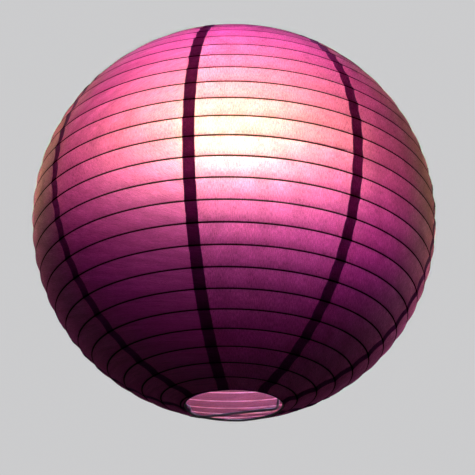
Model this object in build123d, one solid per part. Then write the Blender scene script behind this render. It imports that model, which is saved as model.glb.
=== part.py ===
"""Round paper lantern, 40 cm: a paper ball on a spiral rib, stretched by a wire frame, with a battery lamp.

Millimetres, +Z up.  The origin is the point that the lantern hangs from: the inner top of the wire loop.
-Y is the front.  Every function returns one node, placed where it sits in the finished lantern.
"""
from build123d import *
from math import asin, cos, degrees, radians, sin, sqrt
import os

# ---- Paper shade -----------------------------------------------------------------------------------
SHADE_RADIUS = 200.0
SHADE_HALF_HEIGHT = 196.0
PAPER = 0.2
GLUE = 0.05
GORES = 8
FIRST_SEAM = -12.8            # azimuth of one lap seam, from the front towards +X, degrees
LAP = 9.5                     # width of the lap where one gore is glued over the next
LAP_ROOT = 1.0

# ---- Rings and spiral rib --------------------------------------------------------------------------
RING_RADIUS = 46.35
RING_WIRE = 2.0
RING_DROP = 46.0              # top ring below the origin
HEM_GAP = 1.6                 # paper edge to the middle of the ring wire
RIB_WIRE = 1.0
RIB_SIDES = 8                 # the rib's section is a polygon this near to round
RIB_ARC = 120.0               # part of a turn that each of its arcs covers, degrees
RIB_STEP = 5.607              # polar angle between one turn and the next, degrees
RIB_FRONT = 54.78             # polar angle of one crossing of the front meridian, degrees
RIB_END_GAP = 1.6             # polar angle from a ring to the nearer end of the rib, degrees

# ---- Wire stretcher frame --------------------------------------------------------------------------
FRAME_YAW = -20.0             # the frame's plane is turned about Z, its +X end towards the front
FRAME_WIRE = 2.2
LOOP_RADIUS = 6.0             # inner radius of the hanging loop
NECK_HALF = 1.3
ARM_X = 40.0
SHOULDER_X = 49.6
THROAT_X = 44.0               # where the wire passes just inside a ring
BAR_DROP = 8.0                # bottom bar below the bottom ring
BAR_LEFT = -35.0
BAR_RIGHT = 42.5
CROSS_WIRE = 2.0
CROSS_RISE = 6.0              # lamp's cross wire above the top ring
CROSS_DIP = 4.0

# ---- Battery lamp ----------------------------------------------------------------------------------
RUNNING_GAP = 0.05
HOOK_WIRE = 1.6
HOOK_RADIUS = 3.0             # inner radius of the hook
CAP_TOP_DROP = 10.0           # hook's centre to the top of the cap
CAP_RADIUS = 15.0
CAP_HEIGHT = 12.0
CAP_WALL = 1.8
GRIP_RIBS = 24
NECK_RADIUS = 13.0
BODY_RADIUS = 15.0
BODY_BORE = 12.2
LUGS = 3
TWIST = 30.0                  # bayonet travel, degrees
CELL_RADIUS = 5.25
CELL_LENGTH = 43.7
CELL_NUB = 0.8
CELLS = 3
SPRING_LENGTH = 4.0
LEAF = 0.3                    # leaf spring of a contact: thickness and width
LEAF_WIDTH = 4.0
PLATE = 0.4
CRADLE_PLATE = 1.5
CHAMBER = 9.0                 # switch and wiring space under the cradle
BOARD = 1.2
GLOBE_RADIUS = 24.0
GLOBE_WALL = 1.2
GLOBE_NECK = 11.0
FLANGE_RADIUS = 12.0
COLLAR_HEIGHT = 3.0
SCREWS = 3
SCREW_CIRCLE = 13.6
SCREW_RADIUS = 0.6
SWITCH_TRAVEL = 2.5

# ---- Heights worked out from the above -------------------------------------------------------------
RING_POLAR = degrees(asin(RING_RADIUS / SHADE_RADIUS))
RING_HEIGHT = SHADE_HALF_HEIGHT * cos(radians(RING_POLAR))
TOP_RING_Z = -RING_DROP
SHADE_Z = TOP_RING_Z - RING_HEIGHT
BOTTOM_RING_Z = SHADE_Z - RING_HEIGHT
CROSS_Z = TOP_RING_Z + CROSS_RISE
BAR_Z = CROSS_Z - CROSS_DIP
HOOK_Z = BAR_Z + CROSS_WIRE / 2 + RUNNING_GAP - HOOK_RADIUS
CAP_TOP_Z = HOOK_Z - CAP_TOP_DROP
CAP_ROOF_Z = CAP_TOP_Z - CAP_WALL
NECK_TOP_Z = CAP_ROOF_Z - 2.4
CAP_RIM_Z = CAP_TOP_Z - CAP_HEIGHT
SHOULDER_Z = CAP_RIM_Z - 0.4
CRADLE_TOP_Z = NECK_TOP_Z - 0.4
CELL_TOP_Z = CRADLE_TOP_Z - CRADLE_PLATE - PLATE - 0.1
CELL_SPACE = CELL_LENGTH + CELL_NUB + SPRING_LENGTH
CRADLE_FLOOR_Z = CELL_TOP_Z - CELL_SPACE - PLATE - 0.1
CRADLE_BOTTOM_Z = CRADLE_FLOOR_Z - CRADLE_PLATE
BOARD_TOP_Z = CRADLE_BOTTOM_Z - CHAMBER
BOARD_BOTTOM_Z = BOARD_TOP_Z - BOARD
FLANGE_TOP_Z = BOARD_BOTTOM_Z - 1.2
FLANGE_BOTTOM_Z = FLANGE_TOP_Z - 1.2
BODY_END_Z = FLANGE_BOTTOM_Z - 0.1
GLOBE_Z = BODY_END_Z - COLLAR_HEIGHT - 0.4 - sqrt(GLOBE_RADIUS ** 2 - GLOBE_NECK ** 2)
CELL_CIRCLE = (CELL_RADIUS + 0.3) / sin(radians(180 / CELLS))
SWITCH_Z = CRADLE_BOTTOM_Z - CHAMBER / 2


def turned(shape, angle):
    """The shape turned about the Z axis."""
    return Rot(0, 0, angle) * shape


def around(shape, count, first=0.0):
    """Copies of a shape, evenly spaced about the Z axis."""
    return [turned(shape, first + 360 * i / count) for i in range(count)]


def tube(outer, inner, bottom, top):
    """Upright ring or tube between two heights."""
    height = top - bottom
    wall = Cylinder(outer, height) - Cylinder(inner, height + 1)
    return Pos(0, 0, (top + bottom) / 2) * wall


def disc(radius, bottom, top):
    """Upright solid cylinder between two heights."""
    return Pos(0, 0, (top + bottom) / 2) * Cylinder(radius, top - bottom)


def swept(section, path):
    """A flat section swept along a path from its start."""
    return sweep(Plane(origin=path @ 0, z_dir=path % 0) * section, path=path)


def wire_along(path, diameter):
    """Round wire swept along a path."""
    return swept(Circle(diameter / 2), path)


# ---- Shade -----------------------------------------------------------------------------------------
def paper_band(inset, outset, arc):
    """Band of the shade from hem to hem, turned through arc degrees from the +X half plane."""
    hem = RING_POLAR + degrees(HEM_GAP / SHADE_RADIUS)
    span = 90 - hem
    outer, inner = [
        EllipticalCenterArc((0, 0), SHADE_RADIUS + d, SHADE_HALF_HEIGHT + d, -span, arc_size=2 * span)
        for d in (outset, -inset)
    ]
    section = make_face([outer, inner, Line(outer @ 0, inner @ 0), Line(outer @ 1, inner @ 1)])
    return revolve(Plane.XZ * section, Axis.Z, revolution_arc=arc)


def slab(low, high):
    """Everything whose distance from the +X half plane lies between low and high."""
    reach = 2 * SHADE_RADIUS + 10
    return Pos(reach / 2, (low + high) / 2, 0) * Box(reach, high - low, reach)


def gore():
    """One paper gore, its lap seam in the +X half plane and its lap glued over the next gore."""
    butt = degrees(0.1 / RING_RADIUS)
    widest = degrees(asin(LAP / RING_RADIUS)) + 2
    panel = turned(paper_band(PAPER, 0, 360 / GORES - butt), butt - 360 / GORES)
    top_layer = turned(paper_band(-GLUE, GLUE + PAPER, 2 * widest), -widest)
    joint = turned(paper_band(PAPER, GLUE + PAPER, 2 * widest), -widest)
    lap = (top_layer & slab(-LAP_ROOT, LAP)) + (joint & slab(-LAP_ROOT, 0))
    return Pos(0, 0, SHADE_Z) * (panel + lap)


def ring(height):
    """Round wire ring that the paper is hemmed over."""
    return Pos(0, 0, height) * Torus(RING_RADIUS, RING_WIRE / 2)


def rib_point(azimuth):
    """Point on the rib's centre line; azimuth runs on through every turn, in degrees from the front."""
    polar = radians(RIB_FRONT + RIB_STEP * azimuth / 360)
    inset = PAPER + GLUE + RIB_WIRE / 2
    out = (SHADE_RADIUS - inset) * sin(polar)
    height = SHADE_Z + (SHADE_HALF_HEIGHT - inset) * cos(polar)
    return Vector(out * sin(radians(azimuth)), -out * cos(radians(azimuth)), height)


def rib_spiral():
    """The long rib wire from the top ring down to the bottom ring, as a chain of arcs that meet end to end."""
    section = RegularPolygon(RIB_WIRE / 2, RIB_SIDES)
    first = (RING_POLAR + RIB_END_GAP - RIB_FRONT) / RIB_STEP * 360
    last = (180 - RING_POLAR - RIB_END_GAP - RIB_FRONT) / RIB_STEP * 360
    count = round((last - first) / RIB_ARC)
    step = (last - first) / count
    arcs = []
    for i in range(count):
        start = first + i * step
        arcs.append(ThreePointArc(rib_point(start), rib_point(start + step / 2), rib_point(start + step)))
    return Compound(children=[swept(section, arc) for arc in arcs])


# ---- Stretcher frame -------------------------------------------------------------------------------
def shoulder(side, ring_z, up):
    """Corners (x, z, bend radius) at one ring, from its outer face inwards: up is 1 at the top ring."""
    return [
        (side * THROAT_X, ring_z + up * 3.0, 3.0),
        (side * THROAT_X, ring_z - up * 2.6, 3.0),
        (side * SHOULDER_X, ring_z - up * 6.6, 2.0),
        (side * SHOULDER_X, ring_z - up * 10.0, 3.0),
        (side * ARM_X, ring_z - up * 34.0, 20.0),
    ]


def stretcher_path():
    """Closed centre line of the frame: bottom bar, feet, shoulders, arms, neck and hanging loop."""
    half_loop = LOOP_RADIUS + FRAME_WIRE / 2
    bar_z = BOTTOM_RING_Z - BAR_DROP
    rising = shoulder(1, BOTTOM_RING_Z, -1) + shoulder(1, TOP_RING_Z, 1)[::-1]
    falling = shoulder(-1, TOP_RING_Z, 1) + shoulder(-1, BOTTOM_RING_Z, -1)[::-1]
    neck = [(NECK_HALF, -25.0, 4.0), (NECK_HALF, -16.0, 2.5), (half_loop, -10.5, 2.5)]
    crown = (half_loop, FRAME_WIRE / 2, half_loop - 0.02)
    loop = neck + [crown] + [(-x, z, bend) for x, z, bend in [crown] + neck[::-1]]
    corners = [(BAR_RIGHT, bar_z, 3.0)] + rising + loop + falling + [(BAR_LEFT, bar_z, 2.0)]
    flat = FilletPolyline(*[(x, z) for x, z, _ in corners], radius=[c[2] for c in corners], close=True)
    return Plane.XZ * flat


def expander_frame():
    """Springy wire frame that holds the two rings apart and ends in the hanging loop."""
    return turned(wire_along(stretcher_path(), FRAME_WIRE), FRAME_YAW)


def cross_wire():
    """Wire welded between the frame's sloping shoulders, with a dip where the lamp hangs."""
    reach = THROAT_X - (CROSS_RISE - 3.0) * (THROAT_X - NECK_HALF) / (RING_DROP - 25.0 - 3.0) - 0.6
    half = [(reach, CROSS_Z), (8.0, CROSS_Z), (4.0, BAR_Z)]
    points = [(-x, z) for x, z in half] + half[::-1]
    path = Plane.XZ * FilletPolyline(*points, radius=2.0)
    return turned(wire_along(path, CROSS_WIRE), FRAME_YAW)


# ---- Lamp: hook and cap ----------------------------------------------------------------------------
def lamp_hook():
    """Open wire hook over the cross wire; its stem turns in the cap and ends in a flat head."""
    bend = HOOK_RADIUS + HOOK_WIRE / 2
    top = HOOK_Z + bend
    head_top = CAP_ROOF_Z - RUNNING_GAP
    stem_end = head_top - 0.5
    points = [(0, stem_end), (0, HOOK_Z - 7.0), (bend, HOOK_Z - 3.6), (bend, top), (-bend, top)]
    path = Plane.YZ * FilletPolyline(*points, (-bend, HOOK_Z - 2.0), radius=[2.0, 2.0, bend - 0.02, bend - 0.02])
    head = disc(2.0, head_top - 1.2, head_top)
    return turned(wire_along(path, HOOK_WIRE) + head, FRAME_YAW)


def lamp_cap():
    """Turned cap with a domed roof, grip ribs and inner bayonet lugs."""
    skirt = tube(CAP_RADIUS, NECK_RADIUS + 0.15, CAP_RIM_Z, CAP_ROOF_Z)
    roof = disc(CAP_RADIUS, CAP_ROOF_Z, CAP_TOP_Z)
    roof = chamfer(roof.edges().filter_by(GeomType.CIRCLE).group_by(Axis.Z)[-1], 1.2)
    rib = Pos(CAP_RADIUS, 0, (CAP_RIM_Z + CAP_ROOF_Z) / 2) * Cylinder(0.6, CAP_WALL + 5.0)
    lug = Pos(NECK_RADIUS - 0.2, 0, CAP_RIM_Z + 3.0) * Box(1.4, 3.0, 1.6)
    cap = skirt + roof + around(rib, GRIP_RIBS) + around(lug, LUGS)
    stem_hole = disc(HOOK_WIRE / 2 + RUNNING_GAP, CAP_ROOF_Z - 1, CAP_TOP_Z + 1)
    return turned(cap - stem_hole, FRAME_YAW)


# ---- Lamp: body ------------------------------------------------------------------------------------
def bayonet_slot():
    """One L-shaped slot in the neck: down from its rim, then round for the twist, so that turning +Z undoes it."""
    lug_half = degrees(1.5 / NECK_RADIUS) + 0.6
    shelf = CAP_RIM_Z + 3.0
    ring_cut = tube(NECK_RADIUS + 1, BODY_BORE - 1, shelf - 0.9, shelf + 0.9)
    wedge = [(0, 0)] + [(30 * cos(radians(a)), 30 * sin(radians(a))) for a in (-lug_half - TWIST, lug_half)]
    sector = extrude(make_face(Polyline(*wedge, close=True)), 200, both=True)
    entry = Pos(BODY_BORE, 0, shelf + 5) * Box(6, 3.4, 10)
    return (ring_cut & sector) + turned(entry, -TWIST)


def lamp_body():
    """Moulded battery tube: slotted neck, cell bore, switch window and screw bosses in its end."""
    neck = tube(NECK_RADIUS, BODY_BORE, SHOULDER_Z, NECK_TOP_Z)
    shell = tube(BODY_RADIUS, BODY_BORE, BODY_END_Z, SHOULDER_Z)
    shell = chamfer(shell.edges().filter_by(GeomType.CIRCLE).group_by(Axis.Z)[-1].sort_by(SortBy.RADIUS)[-1], 0.6)
    ledge = tube(BODY_BORE + 0.1, CELL_RADIUS * 2, CRADLE_BOTTOM_Z - 1.2, CRADLE_BOTTOM_Z - 0.1)
    board_stop = tube(BODY_BORE + 0.1, CELL_RADIUS * 2 + 0.7, BOARD_TOP_Z + 0.05, BOARD_TOP_Z + 0.8)
    window = Pos(0, -BODY_RADIUS, SWITCH_Z) * Box(7.0, 8.0, 5.6)
    pilot = Pos(SCREW_CIRCLE, 0, BODY_END_Z + 3.0) * Cylinder(SCREW_RADIUS + 0.05, 8.0)
    body = neck + shell + ledge + board_stop - around(bayonet_slot(), LUGS) - window
    return turned(body - around(pilot, SCREWS, 30), FRAME_YAW)


def battery_cradle():
    """Two end plates and three pillars that hold the cells apart."""
    plates = [disc(BODY_BORE - 0.2, z - CRADLE_PLATE, z) for z in (CRADLE_TOP_Z, CRADLE_FLOOR_Z)]
    middle = (CRADLE_TOP_Z + CRADLE_BOTTOM_Z) / 2
    pillar = Pos(BODY_BORE - 2.0, 0, middle) * Cylinder(1.6, CRADLE_TOP_Z - CRADLE_BOTTOM_Z)
    lead_hole = Pos(BODY_BORE - 4.6, 0, CRADLE_FLOOR_Z) * Cylinder(0.8, 8.0)
    cradle = plates[0] + plates[1] + around(pillar, CELLS, 180 / CELLS)
    return turned(cradle - around(lead_hole, 2, 180 / CELLS), FRAME_YAW)


def cell(index):
    """One battery cell; the middle one stands the other way up, as the cells are wired in series."""
    can = disc(CELL_RADIUS, CELL_TOP_Z - CELL_NUB - CELL_LENGTH, CELL_TOP_Z - CELL_NUB)
    rims = can.edges().filter_by(GeomType.CIRCLE)
    body = fillet(rims, 0.6) + disc(1.9, CELL_TOP_Z - CELL_NUB - 0.1, CELL_TOP_Z)
    if index % 2:
        flip = Pos(0, 0, 2 * CELL_TOP_Z - CELL_SPACE) * Rot(180, 0, 0)
        body = flip * body
    return turned(Pos(CELL_CIRCLE, 0, 0) * body, FRAME_YAW + 360 * index / CELLS)


def at_cells(shape_for):
    """One shape at each cell, made for whether that cell stands upright."""
    return [turned(Pos(CELL_CIRCLE, 0, 0) * shape_for(i % 2 == 0), FRAME_YAW + 360 * i / CELLS) for i in range(CELLS)]


def leaf(upright):
    """Bent leaf spring between a cell's flat end and its plate."""
    foot = LEAF / 2
    points = [(-3.0, foot), (-1.5, foot), (1.5, SPRING_LENGTH - LEAF), (3.0, SPRING_LENGTH - 1.2)]
    outline = [(x, z + LEAF / 2) for x, z in points] + [(x, z - LEAF / 2) for x, z in points[::-1]]
    spring = extrude(Plane.XZ * make_face(Polyline(*outline, close=True)), LEAF_WIDTH / 2, both=True)
    if upright:
        return Pos(0, 0, CELL_TOP_Z - CELL_SPACE) * spring
    return Pos(0, 0, CELL_TOP_Z) * Rot(180, 0, 0) * spring


def spring_contacts():
    """The three leaf springs as a group."""
    return Compound(children=at_cells(leaf))


def contact_plates():
    """Flat steel tabs at both ends of every cell, as a group."""
    def pair(upright):
        high = Pos(0, 0, CELL_TOP_Z + 0.05 + PLATE / 2) * Box(7.0, 7.0, PLATE)
        low = Pos(0, 0, CELL_TOP_Z - CELL_SPACE - 0.05 - PLATE / 2) * Box(7.0, 7.0, PLATE)
        return Compound(children=[high, low])
    return Compound(children=[tab for both in at_cells(pair) for tab in both.solids()])


# ---- Lamp: light end -------------------------------------------------------------------------------
def led_board():
    """Round circuit board under the switch space."""
    return turned(disc(BODY_BORE - 0.15, BOARD_BOTTOM_Z, BOARD_TOP_Z), FRAME_YAW)


def leds():
    """Seven light-emitting chips on the board's lower face, as a group."""
    chip = Pos(0, 0, BOARD_BOTTOM_Z - 0.4) * Box(2.8, 2.8, 0.8)
    ring_of_chips = around(Pos(6.0, 0, 0) * chip, 6)
    return Compound(children=[turned(c, FRAME_YAW) for c in [chip] + ring_of_chips])


def board_components():
    """Driver chip and resistors on the board's upper face, as a group."""
    driver = Pos(-3.5, 3.0, BOARD_TOP_Z + 0.7) * Box(4.0, 5.0, 1.4)
    resistor = Pos(0, 0, BOARD_TOP_Z + 0.25) * Box(1.6, 0.8, 0.5)
    row = [Pos(3.5, 3.0 - 1.8 * i, 0) * resistor for i in range(4)]
    return Compound(children=[turned(p, FRAME_YAW) for p in [driver] + row])


def diffuser_globe():
    """Hollow opal globe with a neck and a flange that the collar clamps."""
    inner = GLOBE_RADIUS - GLOBE_WALL
    neck_bottom = BODY_END_Z - COLLAR_HEIGHT - 0.4
    shell = Pos(0, 0, GLOBE_Z) * (Sphere(GLOBE_RADIUS) - Sphere(inner))
    shell -= disc(GLOBE_NECK - GLOBE_WALL, neck_bottom - 3, neck_bottom + 10)
    shell -= disc(GLOBE_RADIUS, neck_bottom, neck_bottom + 10)
    neck = tube(GLOBE_NECK, GLOBE_NECK - GLOBE_WALL, neck_bottom - 0.5, FLANGE_TOP_Z)
    flange = tube(FLANGE_RADIUS, GLOBE_NECK - GLOBE_WALL, FLANGE_BOTTOM_Z, FLANGE_TOP_Z)
    return shell + neck + flange


def globe_collar():
    """Ring screwed to the end of the body; it carries the globe by its flange."""
    collar = tube(BODY_RADIUS + 0.6, GLOBE_NECK + 0.1, BODY_END_Z - COLLAR_HEIGHT, BODY_END_Z - 0.02)
    collar = fillet(collar.edges().filter_by(GeomType.CIRCLE).group_by(Axis.Z)[0].sort_by(SortBy.RADIUS)[-1], 1.0)
    through = Pos(SCREW_CIRCLE, 0, BODY_END_Z) * Cylinder(SCREW_RADIUS + 0.05, 10.0)
    sink = Pos(SCREW_CIRCLE, 0, BODY_END_Z - COLLAR_HEIGHT) * Cylinder(1.15, 2.4)
    return turned(collar - around(through + sink, SCREWS, 30), FRAME_YAW)


def collar_screws():
    """The collar's three pan-head screws, as a group."""
    head_z = BODY_END_Z - COLLAR_HEIGHT + 1.15
    head = disc(1.1, head_z - 1.0, head_z)
    slot = Pos(0, 0, head_z - 1.0) * Box(1.5, 0.3, 0.8)
    slots = slot + Rot(0, 0, 90) * slot
    screw = head + disc(SCREW_RADIUS, head_z - 0.1, head_z + 4.5) - slots
    placed = around(Pos(SCREW_CIRCLE, 0, 0) * screw, SCREWS, 30 + FRAME_YAW)
    return Compound(children=placed)


def switch_base():
    """Slide switch's housing, set into the body's window."""
    outside = Pos(0, -12.6, SWITCH_Z) * Box(6.8, 3.2, 5.4)
    slot = Pos(0, -13.2, SWITCH_Z) * Box(2.2, 3.2, 1.8 + SWITCH_TRAVEL + 0.2)
    return turned(outside - slot, FRAME_YAW)


def switch_knob():
    """Ribbed slider of the switch, at the lower end of its slot, which is on."""
    knob_z = SWITCH_Z - SWITCH_TRAVEL / 2
    knob = Pos(0, -14.1, knob_z) * Box(2.0, 4.2, 1.8)
    groove = Pos(0, -16.2, knob_z) * Box(2.2, 0.5, 0.3)
    grooves = [Pos(0, 0, d) * groove for d in (-0.5, 0, 0.5)]
    return turned(knob - grooves, FRAME_YAW)


def lead(side):
    """Insulated lead from the cradle's floor plate down to the board."""
    top = CRADLE_BOTTOM_Z + 0.4
    low = BOARD_TOP_Z + 0.05
    mid = (top + low) / 2
    x = BODY_BORE - 4.6
    points = [(x, top), (x, mid + 1.6), (x - 1.8, mid - 1.6), (x - 1.8, low)]
    path = Plane.XZ * FilletPolyline(*points, radius=1.6)
    return turned(wire_along(path, 1.0), FRAME_YAW + 180 / CELLS + (180 if side < 0 else 0))


# ---- Assembly --------------------------------------------------------------------------------------
def assembly():
    """Every node of the lantern by name."""
    parts = {
        "expander_frame": expander_frame(),
        "cross_wire": cross_wire(),
        "top_ring": ring(TOP_RING_Z),
        "bottom_ring": ring(BOTTOM_RING_Z),
        "rib_spiral": rib_spiral(),
        "lamp_hook": lamp_hook(),
        "lamp_cap": lamp_cap(),
        "lamp_body": lamp_body(),
        "battery_cradle": battery_cradle(),
        "spring_contacts": spring_contacts(),
        "contact_plates": contact_plates(),
        "led_board": led_board(),
        "leds": leds(),
        "board_components": board_components(),
        "diffuser_globe": diffuser_globe(),
        "globe_collar": globe_collar(),
        "collar_screws": collar_screws(),
        "switch_base": switch_base(),
        "switch_knob": switch_knob(),
        "lead_red": lead(1),
        "lead_black": lead(-1),
    }
    one_gore = gore()
    for i in range(GORES):
        parts[f"gore_{i + 1}"] = turned(one_gore, FIRST_SEAM - 90 + 360 * i / GORES)
    for i in range(CELLS):
        parts[f"cell_{i + 1}"] = cell(i)
    return parts


if __name__ == "__main__":
    os.makedirs("parts", exist_ok=True)
    for node, shape in assembly().items():
        export_step(shape, f"parts/{node}.step")
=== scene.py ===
"""Looks of the round paper lantern: lit paper gores over a spiral rib, wires, and the battery lamp inside."""
import math

import bpy
import numpy as np
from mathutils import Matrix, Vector, noise


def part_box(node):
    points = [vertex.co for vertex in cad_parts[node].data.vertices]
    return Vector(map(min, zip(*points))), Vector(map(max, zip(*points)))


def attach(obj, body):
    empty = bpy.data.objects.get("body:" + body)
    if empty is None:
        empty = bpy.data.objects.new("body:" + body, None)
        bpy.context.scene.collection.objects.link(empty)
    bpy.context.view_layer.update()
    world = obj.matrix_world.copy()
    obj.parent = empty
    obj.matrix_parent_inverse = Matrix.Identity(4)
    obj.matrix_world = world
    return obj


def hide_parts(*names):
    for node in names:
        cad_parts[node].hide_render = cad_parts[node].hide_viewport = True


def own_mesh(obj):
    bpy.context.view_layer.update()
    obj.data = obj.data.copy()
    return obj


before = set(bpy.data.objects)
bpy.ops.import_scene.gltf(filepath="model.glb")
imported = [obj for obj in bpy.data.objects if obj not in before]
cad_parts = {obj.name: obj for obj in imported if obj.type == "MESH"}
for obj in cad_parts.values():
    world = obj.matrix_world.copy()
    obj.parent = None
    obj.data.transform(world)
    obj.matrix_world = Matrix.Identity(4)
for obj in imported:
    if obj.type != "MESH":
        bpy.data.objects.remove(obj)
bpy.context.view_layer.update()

MM = 0.001


def middle(node):
    """Centre of a CAD node's box."""
    low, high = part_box(node)
    return (Vector(low) + Vector(high)) / 2


# ---- Sizes, as in the CAD model (metres and degrees) ------------------------------------------------
RADIUS = 200 * MM
HALF_HEIGHT = 196 * MM
GORES = 8
LAP = 11 * MM                 # dark band at a seam: the CAD's lap with its root, and 0.5 mm more
FIRST_SEAM = -11.5            # azimuth of the middle of one lap, from the front towards +X
RIB_STEP = 5.607              # polar angle between one turn and the next
RIB_FRONT = 54.78             # polar angle of one crossing of the front
RIB_RADIUS = 0.5 * MM
RIB_INSET = 0.75 * MM         # the rib's centre line under the smooth shade
RIB_END_GAP = 1.6             # polar angle from a ring to the nearer end of the rib
RING_WIRE_RADIUS = 1.0 * MM
RING_TOP = middle("top_ring")
RING_BOTTOM = middle("bottom_ring")
CENTRE = (RING_TOP + RING_BOTTOM) / 2
RING_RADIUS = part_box("top_ring")[1][0] - RING_WIRE_RADIUS
RING_POLAR = math.degrees(math.asin(RING_RADIUS / RADIUS))

# ---- Lamp light, fitted to the photograph -----------------------------------------------------------
LAMP = middle("diffuser_globe")
LAMP_POWER = 500.0
LAMP_RADIUS = 24.6 * MM       # just outside the globe
LAMP_LEAN = 13.0              # the light leans a little to one side, degrees
LAMP_BIAS = 0.42              # and is stronger on that side

# ---- Camera, from a fit of the ball, its mouth and its ribs to the photograph -----------------------
CAMERA_DISTANCE = 6.52 * RADIUS
CAMERA_BELOW = 26.32          # how steeply it looks up, degrees
CAMERA_LENS = 98.55           # focal length on a sensor 36 wide
CAMERA_SENSOR = 36
AIM_RIGHT = 0.00267           # where it aims beside the ball's centre, as shares of the distance
AIM_DOWN = 0.01099

# ---- Floor (metres) ---------------------------------------------------------------------------------
FLOOR_DROP = 1.2              # below the bottom ring
FLOOR_HALF = 6.0
FLOOR_STEPS = 12

# ---- Paper (metres) ---------------------------------------------------------------------------------
SAG = 0.9 * MM                # how far the paper is drawn in between two ribs
LAP_SAG = 0.9 * MM            # further in where two gores are glued
LAP_REACH = 9 * MM            # from a seam to where that dies away
PUCKER = 0.28 * MM            # small upright puckers above each rib
HEM_WRAP = 1.2 * MM           # paper round the ring wire
LIFT = 0.3 * MM               # lap above the gore that it is glued to
WIDE_PUCKER = 5.5 * MM        # widths of the puckers
FINE_PUCKER = 2.4 * MM
SLACK_PATCH = 45 * MM         # width of the stretches where the paper is slacker or tighter
HEM_START = 0.4 * MM          # from a ring's polar angle to the paper's edge
HEM_EASE = 7 * MM             # from a hem to where sag and puckers are full
HEM_MARGIN = 0.2              # rows nearer to a ring than this polar angle are left out
HEM_POINTS = 9                # round a ring wire
HEM_ANGLE = 24                # from one of them to the next, degrees
GRAIN_SHIFT = 0.37            # moves the grain from gore to gore, so that no two are alike
ROWS_PER_TURN = 8
COLUMNS = 54
LAP_COLUMNS = 6
RIB_SIDES = 8
RIB_FACET = 4                 # length of one stretch of the rib's tube, degrees

# Painted shadow that the rib leaves on the paper, as the share of light let through: (height in the band
# between two ribs, share)
RIB_SHADOW = [(0, 0.04), (0.028, 0.06), (0.046, 1), (0.9, 1), (0.95, 0.85), (0.97, 0.06), (1, 0.04)]


# ---- Node helpers -----------------------------------------------------------------------------------
def new_material(name):
    """Empty node material and its output node."""
    mat = bpy.data.materials.new(name)
    mat.use_nodes = True
    mat.node_tree.nodes.clear()
    out = mat.node_tree.nodes.new("ShaderNodeOutputMaterial")
    return mat, out


class Nodes:
    """Short way to add and link nodes in one material or light."""

    def __init__(self, owner):
        self.tree = owner.node_tree

    def add(self, kind, settings=None, **inputs):
        """New node; settings are its properties, inputs are values or sockets by input name."""
        node = self.tree.nodes.new("ShaderNode" + kind)
        for key, value in (settings or {}).items():
            setattr(node, key, value)
        for key, value in inputs.items():
            self.put(node.inputs[key.replace("_", " ")], value)
        return node

    def put(self, socket, value):
        """Links a socket, or sets a constant."""
        if isinstance(value, bpy.types.NodeSocket):
            self.tree.links.new(value, socket)
        else:
            socket.default_value = value

    def math(self, operation, a, b):
        """One math node's result."""
        node = self.add("Math", {"operation": operation})
        self.put(node.inputs[0], a)
        self.put(node.inputs[1], b)
        return node.outputs[0]

    def mix(self, factor, a, b, blend="MIX"):
        """Colour mix result."""
        node = self.add("Mix", {"data_type": "RGBA", "blend_type": blend})
        self.put(node.inputs[0], factor)
        self.put(node.inputs[6], a)
        self.put(node.inputs[7], b)
        return node.outputs[2]

    def ramp(self, factor, stops):
        """Colour ramp through (position, colour) stops."""
        node = self.add("ValToRGB", Fac=factor)
        ramp = node.color_ramp
        while len(ramp.elements) < len(stops):
            ramp.elements.new(0.5)
        for element, (position, colour) in zip(ramp.elements, stops):
            element.position = position
            element.color = colour
        return node.outputs["Color"]

    def noise(self, vector, scale, detail=3.0, roughness=0.6, stretch=(1, 1, 1)):
        """Noise value over a vector, stretched per axis."""
        place = self.add("Mapping", Vector=vector, Scale=stretch).outputs[0]
        texture = self.add("TexNoise", Vector=place, Scale=scale, Detail=detail, Roughness=roughness)
        return texture.outputs["Fac"]

    def wobble(self, noise_value, centre, swing):
        """A noise value turned into a swing round a centre value."""
        offset = self.math("SUBTRACT", noise_value, 0.5)
        return self.math("ADD", centre, self.math("MULTIPLY", offset, swing))

    def blend(self, lobes):
        """One shader from (share, shader) pairs."""
        total, whole = lobes[0][0], lobes[0][1].outputs[0]
        for share, lobe in lobes[1:]:
            total += share
            mixed = self.add("MixShader", Fac=share / total)
            self.put(mixed.inputs[1], whole)
            self.put(mixed.inputs[2], lobe.outputs[0])
            whole = mixed.outputs[0]
        return whole

    def passed_on(self, colour, shade, bend, normal):
        """Light that the paper passes on, spread more widely the higher its bend."""
        tint = self.tinted(colour, shade)
        return self.add("BsdfRefraction", Color=tint, Roughness=1.0, IOR=bend, Normal=normal)

    def tinted(self, colour, shade):
        """A colour darkened by a shade."""
        return self.mix(1.0, rgb(colour), shade, "MULTIPLY")

    def ball_normal(self, crease):
        """Outward direction of the shade's ball, with a share of the drawn-in, puckered surface's own normal.
        """
        out = self.add("VectorMath", {"operation": "SUBTRACT"})
        self.put(out.inputs[0], self.add("TexCoord").outputs["Object"])
        self.put(out.inputs[1], CENTRE)
        even = self.add("VectorMath", {"operation": "NORMALIZE"})
        self.put(even.inputs[0], out.outputs[0])
        both = self.add("Mix", {"data_type": "VECTOR"}, Factor=crease)
        self.put(both.inputs[4], even.outputs[0])
        self.put(both.inputs[5], self.add("NewGeometry").outputs["Normal"])
        return both.outputs[1]

    def bump(self, height, strength, distance):
        """Bumped normal from a height."""
        return self.add("Bump", Height=height, Strength=strength, Distance=distance).outputs[0]


def rgb(colour, share=1.0):
    """Opaque colour for a socket or a ramp, darkened to a share of itself."""
    return (*(share * c for c in colour), 1)


def grey(value):
    """Opaque grey for a socket or a ramp."""
    return rgb((value, value, value))


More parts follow.
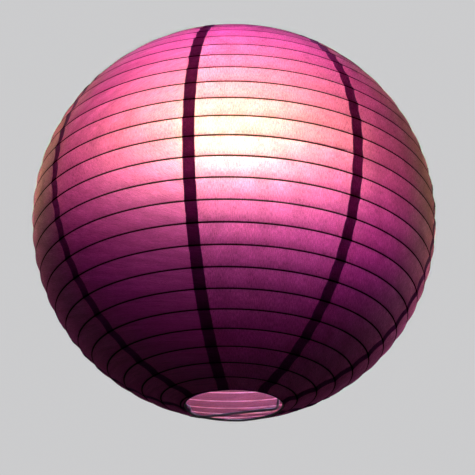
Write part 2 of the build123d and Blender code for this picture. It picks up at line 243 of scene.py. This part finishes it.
# ---- Materials --------------------------------------------------------------------------------------
def paper_material(name, inside, outside, wide, widest, narrow):
    """Dyed lantern paper, lit from behind.

    inside and outside are the colours of its two matt faces.  The others are the colours of the light that
    its fibres pass on in a wide, in the widest and in a narrower beam.
    """
    mat, out = new_material(name)
    n = Nodes(mat)
    grain_uv = n.add("UVMap", {"uv_map": "grain"}).outputs[0]
    band_uv = n.add("UVMap", {"uv_map": "band"}).outputs[0]
    fibre = n.noise(grain_uv, 1.0, 4.0, 0.7, (1100, 260, 1))
    fleck = n.noise(grain_uv, 1.0, 3.0, 0.75, (2600, 1300, 1))
    cloud = n.noise(grain_uv, 1.0, 3.0, 0.55, (60, 38, 1))
    height = n.add("SeparateXYZ", Vector=band_uv).outputs[1]
    ragged = n.wobble(cloud, height, 0.9)
    # Painted shade across each band between two ribs: darkest just above the lower rib, a little darker under
    # the upper one, with ragged edges.
    painted_band_shade = n.ramp(ragged, [(0.0, grey(0.85)), (0.15, grey(1)), (0.55, grey(1)), (0.95, grey(0.55))])
    # Painted shadow of the rib: a dark line at each rib, in the light that the paper passes on and on its
    # outer face.
    rib_shadow_mask = n.ramp(height, [(place, grey(level)) for place, level in RIB_SHADOW])
    texture = n.ramp(fibre, [(0.28, grey(0.5)), (0.5, grey(0.97)), (0.7, grey(1.35))])
    flecks = n.ramp(fleck, [(0.34, grey(0.4)), (0.46, grey(1)), (0.6, grey(1.15))])
    mottled = n.ramp(cloud, [(0.3, grey(0.82)), (0.7, grey(1.15))])
    grain = n.mix(1.0, n.mix(1.0, texture, flecks, "MULTIPLY"), mottled, "MULTIPLY")
    # shade is the grain with the painted band shade and the painted rib shadow on it.
    shade = n.mix(1.0, n.mix(1.0, grain, painted_band_shade, "MULTIPLY"), rib_shadow_mask, "MULTIPLY")
    bumped = n.bump(fibre, 0.35, 0.0006)
    smooth = n.ball_normal(0.15)
    # The outer face gets the painted rib shadow too.
    grain_and_rib_shadow = n.mix(1.0, grain, rib_shadow_mask, "MULTIPLY")
    is_inside = n.add("NewGeometry").outputs["Backfacing"]
    face = n.mix(is_inside, n.tinted(outside, grain_and_rib_shadow), n.tinted(inside, grain))
    # The matt faces are black to all but camera rays, so that they don't light each other inside the ball.
    seen = n.mix(n.add("LightPath").outputs["Is Camera Ray"], grey(0), face)
    whole = n.blend([
        (0.91, n.add("BsdfDiffuse", Color=seen, Normal=bumped)),
        (0.058, n.passed_on(wide, shade, 2.0, smooth)),
        (0.020, n.passed_on(widest, shade, 3.0, smooth)),
        (0.012, n.passed_on(narrow, shade, 1.5, smooth)),
    ])
    n.put(out.inputs["Surface"], whole)
    return mat


def metal_material(name, colour, roughness, scratch=0.25):
    """Drawn or plated metal with fine streaks and dull patches."""
    mat, out = new_material(name)
    n = Nodes(mat)
    place = n.add("TexCoord").outputs["Object"]
    streaks = n.noise(place, 900.0, 4.0, 0.7, (1, 1, 0.15))
    patches = n.noise(place, 120.0, 3.0)
    tone = n.ramp(patches, [(0.3, rgb(colour, 0.72)), (0.65, rgb(colour))])
    dull = n.wobble(streaks, roughness, scratch)
    drawn = n.bump(streaks, 0.2, 0.0001)
    shader = n.add("BsdfPrincipled", Base_Color=tone, Metallic=1.0, Roughness=dull, Normal=drawn)
    n.put(out.inputs["Surface"], shader.outputs[0])
    return mat


def plastic_material(name, colour, roughness, grain=2200.0, coat=0.0, glint=None):
    """Moulded plastic, finely grained and slightly uneven in colour.

    glint is a small glow, for camera rays only, that stands for the lamp light that a thin wire catches.
    """
    mat, out = new_material(name)
    n = Nodes(mat)
    place = n.add("TexCoord").outputs["Object"]
    fine = n.noise(place, grain, 2.0)
    broad = n.noise(place, 90.0, 3.0)
    tone = n.ramp(broad, [(0.3, rgb(colour, 0.9)), (0.7, rgb(colour))])
    rough = n.wobble(fine, roughness, 0.2)
    bumped = n.bump(fine, 0.25, 0.0001)
    shader = n.add("BsdfPrincipled", Base_Color=tone, Roughness=rough, Normal=bumped, Coat_Weight=coat)
    if glint:
        uneven = n.ramp(broad, [(0.3, grey(0.7)), (0.7, grey(1))])
        n.put(shader.inputs["Emission Color"], n.tinted(glint, uneven))
        n.put(shader.inputs["Emission Strength"], n.add("LightPath").outputs["Is Camera Ray"])
    n.put(out.inputs["Surface"], shader.outputs[0])
    return mat


def glow_material(name, colour, glow, strength):
    """Lit opal plastic or phosphor: a satin skin over its own light."""
    mat, out = new_material(name)
    n = Nodes(mat)
    place = n.add("TexCoord").outputs["Object"]
    cloud = n.noise(place, 140.0, 3.0)
    tone = n.ramp(cloud, [(0.3, rgb(colour, 0.93)), (0.7, rgb(colour))])
    lit = n.ramp(cloud, [(0.3, rgb(glow, 0.92)), (0.7, rgb(glow))])
    shader = n.add("BsdfPrincipled", Base_Color=tone, Roughness=0.35)
    n.put(shader.inputs["Emission Color"], lit)
    n.put(shader.inputs["Emission Strength"], strength)
    n.put(out.inputs["Surface"], shader.outputs[0])
    return mat


def sleeve_material(name):
    """Cell sleeve: a dark body with one copper band near an end and bare steel at both ends, no lettering."""
    mat, out = new_material(name)
    n = Nodes(mat)
    place = n.add("TexCoord").outputs["Generated"]
    along = n.add("SeparateXYZ", Vector=place).outputs[2]
    dark = rgb((0.02, 0.025, 0.03))
    copper = rgb((0.55, 0.24, 0.08))
    steel = rgb((0.6, 0.6, 0.58))
    bands = [(0.0, steel), (0.03, dark), (0.70, dark), (0.71, copper), (0.97, copper), (0.985, steel)]
    tone = n.ramp(along, bands)
    worn = n.noise(n.add("TexCoord").outputs["Object"], 400.0, 3.0)
    rough = n.math("ADD", 0.25, n.math("MULTIPLY", worn, 0.2))
    bumped = n.bump(worn, 0.1, 0.0001)
    shader = n.add("BsdfPrincipled", Base_Color=tone, Metallic=0.6, Roughness=rough, Normal=bumped)
    n.put(out.inputs["Surface"], shader.outputs[0])
    return mat


# ---- Paper gores ------------------------------------------------------------------------------------
def on_shade(azimuth, polar, out):
    """Point at out metres off the shade; azimuth from the front towards +X, polar from the top, degrees."""
    a, p = math.radians(azimuth), math.radians(polar)
    r = (RADIUS + out) * math.sin(p)
    return Vector((r * math.sin(a), -r * math.cos(a), CENTRE.z + (HALF_HEIGHT + out) * math.cos(p)))


def around(azimuth, polar):
    """Metres along the shade's parallel from the front to an azimuth."""
    return math.radians(azimuth) * RADIUS * math.sin(math.radians(polar))


def paper_out(azimuth, polar):
    """How far the paper stands off the smooth shade there: drawn in between ribs, with small puckers."""
    turn = (polar - RIB_FRONT) / RIB_STEP - azimuth / 360
    f = turn - math.floor(turn)
    side = around(azimuth, polar)
    from_seam = (azimuth - FIRST_SEAM + 180 / GORES) % (360 / GORES) - 180 / GORES
    at_lap = math.exp(-(around(from_seam, polar) / LAP_REACH) ** 2)
    wave = noise.noise(Vector((side / WIDE_PUCKER, math.floor(turn) * 7.3, 0.4 * f)))
    wave += 0.5 * noise.noise(Vector((side / FINE_PUCKER, math.floor(turn) * 3.1, 0.6 * f + 9)))
    slack = 1 + 0.35 * noise.noise(Vector((side / SLACK_PATCH, polar / 9, 2.0)))
    to_hem = math.radians(min(polar - RING_POLAR, 180 - RING_POLAR - polar)) * RADIUS
    ease = min(1.0, max(0.0, to_hem / HEM_EASE))
    drawn_in = (SAG * slack + LAP_SAG * at_lap) * (4 * f * (1 - f)) ** 0.85
    puckers = PUCKER * (1 - 0.85 * at_lap) * wave * 6.75 * f * f * (1 - f)
    return (puckers - drawn_in) * ease + HEM_WRAP * (1 - ease) ** 2


def hem_profile(top):
    """Points (radius, height) of the paper round a ring and back inside, from the outer face on."""
    ring_z = RING_TOP.z if top else RING_BOTTOM.z
    sign = 1 if top else -1
    points = []
    for i in range(HEM_POINTS):
        angle = math.radians(RING_POLAR + i * HEM_ANGLE)
        points.append((RING_RADIUS + HEM_WRAP * math.sin(angle), ring_z + sign * HEM_WRAP * math.cos(angle)))
    return points


def gore_grid(index):
    """One gore's grid: each row's place along the rib, in turns, and its (azimuth, polar) pairs."""
    seam = FIRST_SEAM + 360 * index / GORES
    hem = RING_POLAR + math.degrees(HEM_START / RADIUS)
    turns = (180 - 2 * hem) / RIB_STEP + 1.5
    span = 360 / GORES
    first = math.floor((hem - RIB_FRONT) / RIB_STEP - (seam + span) / 360) - 1
    rows = [first + i / ROWS_PER_TURN for i in range(int((turns + 2) * ROWS_PER_TURN))]
    grid = []
    for v in rows:
        line = []
        for c in range(COLUMNS + LAP_COLUMNS + 1):
            rough_polar = RIB_FRONT + RIB_STEP * (v + seam / 360)
            rough_polar = min(max(rough_polar, hem), 180 - hem)
            half_lap = math.degrees(math.asin(LAP / 2 / (RADIUS * math.sin(math.radians(rough_polar)))))
            if c <= COLUMNS:
                azimuth = seam - half_lap + span * c / COLUMNS
            else:
                azimuth = seam + span - half_lap + 2 * half_lap * (c - COLUMNS) / LAP_COLUMNS
            polar = min(max(RIB_FRONT + RIB_STEP * (v + azimuth / 360), hem), 180 - hem)
            line.append((azimuth, polar))
        grid.append(line)
    return rows, grid


def add_mesh(name, verts, faces, materials, face_slots=None):
    """New smooth mesh object with its materials."""
    mesh = bpy.data.meshes.new(name)
    mesh.from_pydata([tuple(v) for v in verts], [], faces)
    for material in materials:
        mesh.materials.append(material)
    if face_slots is not None:
        mesh.polygons.foreach_set("material_index", face_slots)
    mesh.polygons.foreach_set("use_smooth", [True] * len(faces))
    mesh.update()
    piece = bpy.data.objects.new(name, mesh)
    bpy.context.scene.collection.objects.link(piece)
    return piece


def add_maps(piece, grain, band):
    """Lays two maps on a paper piece: metres over the paper, and height within a band between ribs."""
    for name, values in (("grain", grain), ("band", band)):
        layer = piece.data.uv_layers.new(name=name)
        layer.data.foreach_set("uv", np.array(values, float).ravel())


def paper_gore(index, materials):
    """One gore: its face and the lap over the next gore."""
    rows, grid = gore_grid(index)
    width = COLUMNS + LAP_COLUMNS + 1
    low, high = RING_POLAR + HEM_MARGIN, 180 - HEM_MARGIN - RING_POLAR
    keep = [i for i, line in enumerate(grid) if any(low < polar < high for _, polar in line)]
    keep = [keep[0] - 1] + keep + [keep[-1] + 1]
    verts, coords = [], []
    for i in keep:
        for c, (azimuth, polar) in enumerate(grid[i]):
            out = paper_out(azimuth, polar)
            if c > COLUMNS:
                out += LIFT
            verts.append(on_shade(azimuth, polar, out))
            coords.append((azimuth, polar, rows[i]))
    faces, slots, grain, band = [], [], [], []

    def corner(k, turn):
        azimuth, polar, v = coords[k]
        across = around(azimuth, polar)
        grain.append((across + index * GRAIN_SHIFT, math.radians(polar) * RADIUS))
        band.append((across, v - turn))

    for r in range(len(keep) - 1):
        turn = math.floor((rows[keep[r]] + rows[keep[r + 1]]) / 2)
        for c in range(width - 1):
            quad = (r * width + c, (r + 1) * width + c, (r + 1) * width + c + 1, r * width + c + 1)
            polars = [coords[k][1] for k in quad]
            if max(polars) - min(polars) < 1e-6:
                continue
            faces.append(quad)
            slots.append(1 if c >= COLUMNS else 0)
            for k in quad:
                corner(k, turn)
    piece = add_mesh(f"paper_gore_{index + 1}", verts, faces, materials, slots)
    add_maps(piece, grain, band)
    return piece


def paper_hem(top, material):
    """The gores' glued edge, turned round one ring wire."""
    profile = hem_profile(top)
    columns = GORES * COLUMNS // 2
    step = 2 * math.pi / columns
    verts, faces, grain, band = [], [], [], []
    for radius, height in profile:
        for c in range(columns):
            verts.append(Vector((radius * math.sin(c * step), -radius * math.cos(c * step), height)))
    for i in range(len(profile) - 1):
        for c in range(columns):
            corners = [(i, c), (i, c + 1), (i + 1, c + 1), (i + 1, c)]
            if not top:
                corners = [corners[1], corners[0], corners[3], corners[2]]
            faces.append(tuple(row * columns + place % columns for row, place in corners))
            grain += [(place * step * RING_RADIUS, row * HEM_WRAP / 2) for row, place in corners]
            band += [(place * step * RING_RADIUS, 0.5) for _, place in corners]
    piece = add_mesh("paper_hem_top" if top else "paper_hem_bottom", verts, faces, [material])
    add_maps(piece, grain, band)
    return piece


# ---- Rib --------------------------------------------------------------------------------------------
def rib_wire(material):
    """The long spiral rib as a mesh tube that follows the CAD rib's line."""
    first = (RING_POLAR + RIB_END_GAP - RIB_FRONT) / RIB_STEP * 360
    last = (180 - RING_POLAR - RIB_END_GAP - RIB_FRONT) / RIB_STEP * 360
    steps = int((last - first) / RIB_FACET)
    nudge = 0.1
    verts = []
    for i in range(steps + 1):
        azimuth = first + (last - first) * i / steps
        polar = RIB_FRONT + RIB_STEP * azimuth / 360
        core = on_shade(azimuth, polar, -RIB_INSET)
        outward = (on_shade(azimuth, polar, 0) - core).normalized()
        along = (on_shade(azimuth + nudge, polar + RIB_STEP * nudge / 360, -RIB_INSET) - core).normalized()
        across = along.cross(outward)
        for s in range(RIB_SIDES):
            turn = 2 * math.pi * s / RIB_SIDES
            verts.append(core + RIB_RADIUS * (math.cos(turn) * outward + math.sin(turn) * across))
    faces = []
    for i in range(steps):
        for s in range(RIB_SIDES):
            a, b = i * RIB_SIDES + s, i * RIB_SIDES + (s + 1) % RIB_SIDES
            faces.append((a, a + RIB_SIDES, b + RIB_SIDES, b))
    faces.append(tuple(range(RIB_SIDES)))
    faces.append(tuple(steps * RIB_SIDES + s for s in reversed(range(RIB_SIDES))))
    return add_mesh("rib_wire", verts, faces, [material])


# ---- Room, light and camera -------------------------------------------------------------------------
def pale_floor():
    """Pale floor under the lantern."""
    verts, faces = [], []
    for i in range(FLOOR_STEPS + 1):
        for j in range(FLOOR_STEPS + 1):
            x = (i / FLOOR_STEPS - 0.5) * FLOOR_HALF * 2
            y = (j / FLOOR_STEPS - 0.5) * FLOOR_HALF * 2
            verts.append((x, y, RING_BOTTOM.z - FLOOR_DROP))
    for i in range(FLOOR_STEPS):
        for j in range(FLOOR_STEPS):
            a = i * (FLOOR_STEPS + 1) + j
            faces.append((a, a + FLOOR_STEPS + 1, a + FLOOR_STEPS + 2, a + 1))
    mat, out = new_material("pale_floor")
    n = Nodes(mat)
    cloud = n.noise(n.add("TexCoord").outputs["Object"], 3.0)
    tone = n.ramp(cloud, [(0.3, grey(0.60)), (0.7, grey(0.64))])
    matt = n.add("BsdfDiffuse", Color=tone)
    shine = n.add("Emission", Color=tone, Strength=0.85)
    seen = n.add("LightPath").outputs["Is Camera Ray"]
    both = n.add("MixShader", Fac=seen)
    n.put(both.inputs[1], matt.outputs[0])
    n.put(both.inputs[2], shine.outputs[0])
    n.put(out.inputs["Surface"], both.outputs[0])
    add_mesh("floor", verts, faces, [mat])


def pale_surroundings():
    """A room that looks pale and gives almost no light, so that the lamp alone lights the paper."""
    world = bpy.data.worlds.new("room")
    bpy.context.scene.world = world
    world.use_nodes = True
    tree = world.node_tree
    background = tree.nodes["Background"]
    path = tree.nodes.new("ShaderNodeLightPath")
    seen_or_not = tree.nodes.new("ShaderNodeMix")
    seen_or_not.data_type = "RGBA"
    seen_or_not.inputs[6].default_value = grey(0.01)
    seen_or_not.inputs[7].default_value = (0.60, 0.60, 0.61, 1)
    tree.links.new(path.outputs["Is Camera Ray"], seen_or_not.inputs[0])
    tree.links.new(seen_or_not.outputs[2], background.inputs["Color"])


def area_light(name, place, target, size, energy):
    """Soft studio light that faces a point."""
    data = bpy.data.lights.new(name, "AREA")
    data.size = size
    data.energy = energy
    light = bpy.data.objects.new(name, data)
    light.location = place
    light.rotation_euler = (target - place).to_track_quat("-Z", "Y").to_euler()
    bpy.context.scene.collection.objects.link(light)


def lamp_light():
    """The light that the lamp's globe gives: mostly sideways and up, pinker below; it moves with the lamp."""
    data = bpy.data.lights.new("lamp_light", "POINT")
    data.energy = LAMP_POWER
    data.shadow_soft_size = LAMP_RADIUS
    data.use_nodes = True
    n = Nodes(data)
    across, _, upward = n.add("SeparateXYZ", Vector=n.add("TexCoord").outputs["Normal"]).outputs
    share = n.math("ADD", n.math("MULTIPLY", upward, 0.5), 0.5)
    sideways = n.math("MULTIPLY", across, LAMP_BIAS)
    # From straight down at 0 to straight up at 1: how strong the light is, and its hue
    strengths = [
        (0.0, 0.055), (0.055, 0.11), (0.095, 0.175), (0.13, 0.33), (0.175, 0.66), (0.225, 0.86),
        (0.275, 0.98), (0.375, 0.92), (0.5, 0.98), (0.6, 1.15), (0.69, 0.97), (0.87, 0.62),
    ]
    hues = [
        (0.08, (1, 0.68, 1.65)), (0.12, (1, 0.66, 1.35)), (0.163, (1, 0.9, 1.2)),
        (0.216, (0.94, 1.05, 0.92)), (0.28, (0.94, 1.15, 0.82)), (0.36, (0.92, 1.05, 0.86)),
        (0.45, (0.95, 0.95, 0.98)), (0.61, (1, 1.08, 1.35)),
    ]
    emission = n.tree.nodes["Emission"]
    level = n.ramp(share, [(place, grey(value)) for place, value in strengths])
    n.put(emission.inputs["Strength"], n.math("MULTIPLY", level, n.math("SUBTRACT", 1.0, sideways)))
    lean = n.math("MULTIPLY", across, 0.5 * math.sin(math.radians(LAMP_LEAN)))
    upright = n.math("SUBTRACT", share, lean)     # the strength leans with the light, and the hue hardly does
    n.put(emission.inputs["Color"], n.ramp(upright, [(place, rgb(hue)) for place, hue in hues]))
    light = bpy.data.objects.new("lamp_light", data)
    light.location = LAMP
    light.rotation_euler = (0, math.radians(LAMP_LEAN), 0)
    bpy.context.scene.collection.objects.link(light)
    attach(light, "lamp")


def camera():
    """The photograph's view: from 1.3 m away, in front and below, looking up at the lantern."""
    below = math.radians(CAMERA_BELOW)
    look = Vector((0, math.cos(below), math.sin(below)))
    up = Vector((0, -math.sin(below), math.cos(below)))
    place = CENTRE - CAMERA_DISTANCE * look
    aim = CENTRE + CAMERA_DISTANCE * (AIM_RIGHT * Vector((1, 0, 0)) - AIM_DOWN * up)
    data = bpy.data.cameras.new("camera")
    data.sensor_width = CAMERA_SENSOR
    data.lens = CAMERA_LENS
    cam = bpy.data.objects.new("camera", data)
    cam.location = place
    cam.rotation_mode = "QUATERNION"
    cam.rotation_quaternion = (aim - place).to_track_quat("-Z", "Y")
    bpy.context.scene.collection.objects.link(cam)
    bpy.context.scene.camera = cam


# ---- Making -----------------------------------------------------------------------------------------
def dress(node, material):
    """Gives a CAD node its material."""
    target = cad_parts[node]
    target.data.materials.clear()
    target.data.materials.append(material)


def squash_with_fold(piece):
    """Gives the piece a mesh of its own."""
    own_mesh(piece)


def make_shade():
    """Eight gores, their hems round the rings, and the rib that carries them."""
    paper = paper_material(
        "lantern_paper",
        inside=(0.42, 0.13, 0.14),
        outside=(0.40, 0.035, 0.22),
        wide=(1.0, 0.085, 0.30),
        widest=(1.0, 0.02, 0.50),
        narrow=(0.75, 1.12, 0.24),
    )
    through = (1.0, 0.2, 1.0)     # the gore under a lap has already dyed and dimmed the light
    # The lap's two faces are far darker than the paper's: a little of that is glue, the rest is painted shade
    # of the double layer that the lamp light hardly passes. The hems round the rings use this material too.
    lap = paper_material(
        "glued_lap_painted_shade",
        inside=(0.12, 0.02, 0.06),
        outside=(0.05, 0.005, 0.035),
        wide=through,
        widest=through,
        narrow=through,
    )
    for i in range(GORES):
        gore = paper_gore(i, [paper, lap])
        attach(gore, "shade")
        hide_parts(f"gore_{i + 1}")
        squash_with_fold(gore)
    for top, body in ((True, "shade"), (False, "bottom_ring")):
        hem = paper_hem(top, lap)
        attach(hem, body)
    coating = plastic_material("rib_coating", (0.92, 0.74, 0.72), 0.4, 3000.0, glint=(0.62, 0.17, 0.21))
    rib = rib_wire(coating)
    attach(rib, "shade")
    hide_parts("rib_spiral")
    squash_with_fold(rib)


def dress_nodes():
    """Materials of the CAD nodes that stay."""
    wire = metal_material("drawn_steel", (0.62, 0.61, 0.60), 0.32)
    plated = metal_material("plated_contact", (0.78, 0.76, 0.70), 0.22, 0.15)
    white = plastic_material("white_housing", (0.84, 0.84, 0.81), 0.42)
    black = plastic_material("black_moulding", (0.025, 0.025, 0.028), 0.5)
    chip = plastic_material("chip_epoxy", (0.03, 0.03, 0.032), 0.55, 3200.0)
    board = plastic_material("board_mask", (0.02, 0.19, 0.07), 0.3, 1500.0, 0.4)
    red = plastic_material("red_insulation", (0.55, 0.02, 0.015), 0.45)
    dark = plastic_material("black_insulation", (0.02, 0.02, 0.022), 0.45)
    globe = glow_material("lit_opal", (0.93, 0.92, 0.90), (1.0, 0.93, 0.85), 9.0)
    phosphor = glow_material("lit_phosphor", (0.9, 0.75, 0.3), (1.0, 0.9, 0.7), 12.0)
    sleeve = sleeve_material("cell_sleeve")
    chosen = {
        wire: ["expander_frame", "cross_wire", "top_ring", "bottom_ring", "lamp_hook"],
        plated: ["spring_contacts", "contact_plates", "collar_screws"],
        white: ["lamp_cap", "lamp_body", "globe_collar"],
        black: ["battery_cradle", "switch_base", "switch_knob"],
        chip: ["board_components"],
        board: ["led_board"],
        red: ["lead_red"],
        dark: ["lead_black"],
        globe: ["diffuser_globe"],
        phosphor: ["leds"],
        sleeve: ["cell_1", "cell_2", "cell_3"],
    }
    for material, nodes in chosen.items():
        for node in nodes:
            dress(node, material)


camera()
pale_floor()
pale_surroundings()
make_shade()
dress_nodes()
lamp_light()
area_light("key", Vector((-1.6, -1.9, 0.9)), CENTRE, 1.6, 1.2)
area_light("fill", Vector((1.9, -1.2, -0.9)), CENTRE, 1.8, 0.6)
bpy.context.scene.view_settings.view_transform = "Standard"
